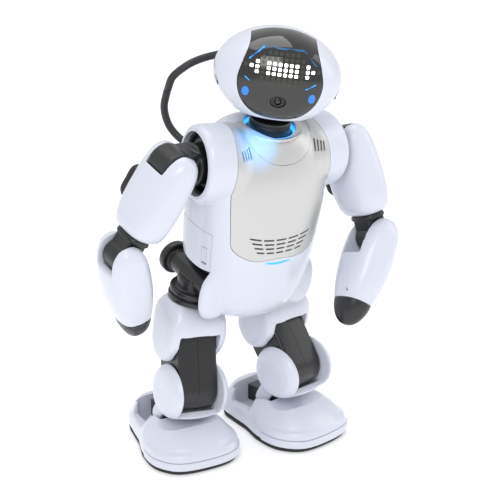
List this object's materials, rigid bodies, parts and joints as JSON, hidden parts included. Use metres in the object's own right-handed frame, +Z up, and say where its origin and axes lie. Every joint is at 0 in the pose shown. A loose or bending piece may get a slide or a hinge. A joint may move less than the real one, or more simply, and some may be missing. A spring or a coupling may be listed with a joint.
{
  "type": "walking humanoid robot",
  "caption": "Small programmable walking humanoid robot with jointed neck, arms, hips, knees and ankles, a glossy face visor and a hose from head to back.",
  "frame": {"origin": "centre of the bounding box's footprint, on the floor under the soles", "axes": "+Z up, -Y is the way the chest faces, +X is the robot's left"},
  "size_m": [0.264, 0.159, 0.3888],
  "materials": {
    "white_shell": "gloss",
    "silver_panel": "satin metallic paint",
    "black_frame": "satin",
    "gloss_black": "high gloss",
    "rubber": "matt",
    "hose_rubber": "matt ribbed",
    "light_lens": "lit",
    "circuit_board": "satin",
    "cells": "shrink wrap"
  },
  "bodies": {
    "torso": {"torso_front_shell": "white_shell", "torso_back_shell": "white_shell", "chest_panel": "silver_panel", "collar_yoke": "silver_panel", "belly_light": "light_lens", "collar_light": "light_lens", "battery_pack": "cells", "main_board": "circuit_board", "speaker": "black_frame", "pelvis_frame": "black_frame", "right_shoulder_ring": "black_frame", "left_shoulder_ring": "black_frame", "charge_socket": "black_frame", "neck_hose_lower": "hose_rubber"},
    "battery_door": {"battery_door": "white_shell"},
    "door_latch": {"door_latch": "white_shell"},
    "power_button": {"power_button": "light_lens"},
    "head": {"head_front_shell": "white_shell", "head_back_shell": "white_shell", "face_visor": "gloss_black", "nose_camera": "gloss_black", "face_light_board": "circuit_board", "right_ear_sensor": "gloss_black", "left_ear_sensor": "gloss_black", "head_carrier": "black_frame", "neck_hose_upper": "hose_rubber"},
    "neck": {"neck_barrel": "black_frame"},
    "right_forearm": {"right_forearm_shell": "white_shell", "right_hand_tip": "white_shell"},
    "right_upper_arm": {"right_upper_arm_shell": "white_shell", "right_upper_arm_pad": "black_frame", "right_elbow_bracket": "black_frame"},
    "right_shoulder_bracket": {"right_shoulder_bracket": "black_frame"},
    "right_foot": {"right_foot_shell": "white_shell", "right_toe_band": "white_shell", "right_foot_sole": "rubber"},
    "right_ankle": {"right_ankle_block": "black_frame"},
    "right_shin": {"right_shin_shell": "white_shell"},
    "right_thigh": {"right_knee_link": "black_frame"},
    "right_hip_yaw": {"right_hip_yaw_disc": "black_frame", "right_hip_block": "white_shell"},
    "right_hip_roll": {"right_hip_roll_housing": "black_frame"},
    "left_forearm": {"left_forearm_shell": "white_shell", "left_hand_tip": "white_shell"},
    "left_upper_arm": {"left_upper_arm_shell": "white_shell", "left_upper_arm_pad": "black_frame", "left_elbow_bracket": "black_frame"},
    "left_shoulder_bracket": {"left_shoulder_bracket": "black_frame"},
    "left_foot": {"left_foot_shell": "white_shell", "left_toe_band": "white_shell", "left_foot_sole": "rubber"},
    "left_ankle": {"left_ankle_block": "black_frame"},
    "left_shin": {"left_shin_shell": "white_shell"},
    "left_thigh": {"left_knee_link": "black_frame"},
    "left_hip_yaw": {"left_hip_yaw_disc": "black_frame", "left_hip_block": "white_shell"},
    "left_hip_roll": {"left_hip_roll_housing": "black_frame"}
  },
  "joints": [
    {"name": "head_pan", "type": "hinge", "parent": "torso", "child": "neck", "pos_m": [0.01557, -0.02634, 0.30102], "axis": [0.0523, -0.1905, 0.9803], "range_deg": [-45, 45], "deforming": ["neck_hose_lower", "neck_hose_upper"]},
    {"name": "head_tilt", "type": "hinge", "parent": "neck", "child": "head", "pos_m": [0.0163, -0.029, 0.31475], "axis": [0.856, -0.497, -0.1423], "range_deg": [-8, 14], "deforming": ["neck_hose_upper"]},
    {"name": "right_shoulder_pitch", "type": "hinge", "parent": "torso", "child": "right_shoulder_bracket", "pos_m": [-0.05176, -0.01792, 0.27871], "axis": [0.9986, 0.01, -0.0514], "range_deg": [-60, 60]},
    {"name": "right_shoulder_roll", "type": "hinge", "parent": "right_shoulder_bracket", "child": "right_upper_arm", "pos_m": [-0.07472, -0.01815, 0.27989], "axis": [0, 0.9816, 0.1908], "range_deg": [-4, 60]},
    {"name": "right_elbow", "type": "hinge", "parent": "right_upper_arm", "child": "right_forearm", "pos_m": [-0.11604, -0.00333, 0.20362], "axis": [0, 0.9816, 0.1908], "range_deg": [-20, 40]},
    {"name": "left_shoulder_pitch", "type": "hinge", "parent": "torso", "child": "left_shoulder_bracket", "pos_m": [0.08006, -0.01661, 0.27193], "axis": [0.9986, 0.01, -0.0514], "range_deg": [-60, 15]},
    {"name": "left_shoulder_roll", "type": "hinge", "parent": "left_shoulder_bracket", "child": "left_upper_arm", "pos_m": [0.10303, -0.01638, 0.27075], "axis": [0.0262, -0.9454, 0.3249], "range_deg": [-4, 60]},
    {"name": "left_elbow", "type": "hinge", "parent": "left_upper_arm", "child": "left_forearm", "pos_m": [0.11589, -0.04435, 0.18831], "axis": [0.0262, -0.9454, 0.3249], "range_deg": [-20, 40]},
    {"name": "right_hip_roll", "type": "hinge", "parent": "torso", "child": "right_hip_roll", "pos_m": [-0.03496, 0.01166, 0.16319], "axis": [0, 0.9816, 0.1908], "range_deg": [-5, 6]},
    {"name": "right_hip_yaw", "type": "hinge", "parent": "right_hip_roll", "child": "right_hip_yaw", "pos_m": [-0.03496, 0.01166, 0.16319], "axis": [0.1045, -0.1898, 0.9762], "range_deg": [-15, 15]},
    {"name": "right_hip_pitch", "type": "hinge", "parent": "right_hip_yaw", "child": "right_thigh", "pos_m": [-0.04184, 0.01619, 0.10335], "axis": [0.9907, -0.0657, -0.1188], "range_deg": [-18, 20]},
    {"name": "right_knee", "type": "hinge", "parent": "right_thigh", "child": "right_shin", "pos_m": [-0.04769, 0.00354, 0.06161], "axis": [0.9907, -0.0657, -0.1188], "range_deg": [-20, 18]},
    {"name": "right_ankle_pitch", "type": "hinge", "parent": "right_shin", "child": "right_ankle", "pos_m": [-0.05007, 0.02658, 0.029], "axis": [0.9907, -0.0657, -0.1188], "range_deg": [-5, 10]},
    {"name": "right_ankle_roll", "type": "hinge", "parent": "right_ankle", "child": "right_foot", "pos_m": [-0.05007, 0.02658, 0.029], "axis": [0.0662, 0.9978, 0], "range_deg": [-3, 4]},
    {"name": "left_hip_roll", "type": "hinge", "parent": "torso", "child": "left_hip_roll", "pos_m": [0.05092, 0.01252, 0.15877], "axis": [0, -0.9816, -0.1908], "range_deg": [-2.5, 8]},
    {"name": "left_hip_yaw", "type": "hinge", "parent": "left_hip_roll", "child": "left_hip_yaw", "pos_m": [0.05092, 0.01252, 0.15877], "axis": [-0.0523, 0.1905, -0.9803], "range_deg": [-15, 15]},
    {"name": "left_hip_pitch", "type": "hinge", "parent": "left_hip_yaw", "child": "left_thigh", "pos_m": [0.04911, 0.01722, 0.09857], "axis": [0.9803, 0.1971, -0.014], "range_deg": [-18, 20]},
    {"name": "left_knee", "type": "hinge", "parent": "left_thigh", "child": "left_shin", "pos_m": [0.05387, -0.00895, 0.06353], "axis": [0.9803, 0.1971, -0.014], "range_deg": [-20, 18]},
    {"name": "left_ankle_pitch", "type": "hinge", "parent": "left_shin", "child": "left_ankle", "pos_m": [0.04942, 0.01074, 0.029], "axis": [0.9803, 0.1971, -0.014], "range_deg": [-5, 10]},
    {"name": "left_ankle_roll", "type": "hinge", "parent": "left_ankle", "child": "left_foot", "pos_m": [0.04942, 0.01074, 0.029], "axis": [0.1971, -0.9804, 0], "range_deg": [-3, 4]},
    {"name": "battery_door_hinge", "type": "hinge", "parent": "torso", "child": "battery_door", "pos_m": [-0.04706, 0.01742, 0.20168], "axis": [-0.0523, 0.1905, -0.9803], "range_deg": [0, 40]},
    {"name": "door_latch_slide", "type": "slide", "parent": "battery_door", "child": "door_latch", "axis": [0.0523, -0.1905, 0.9803], "range_m": [-0.002, 0], "stiffness_N_per_m": 300},
    {"name": "power_button_press", "type": "slide", "parent": "torso", "child": "power_button", "axis": [0, -0.9816, -0.1908], "range_m": [0, 0.0015], "stiffness_N_per_m": 400}
  ]
}
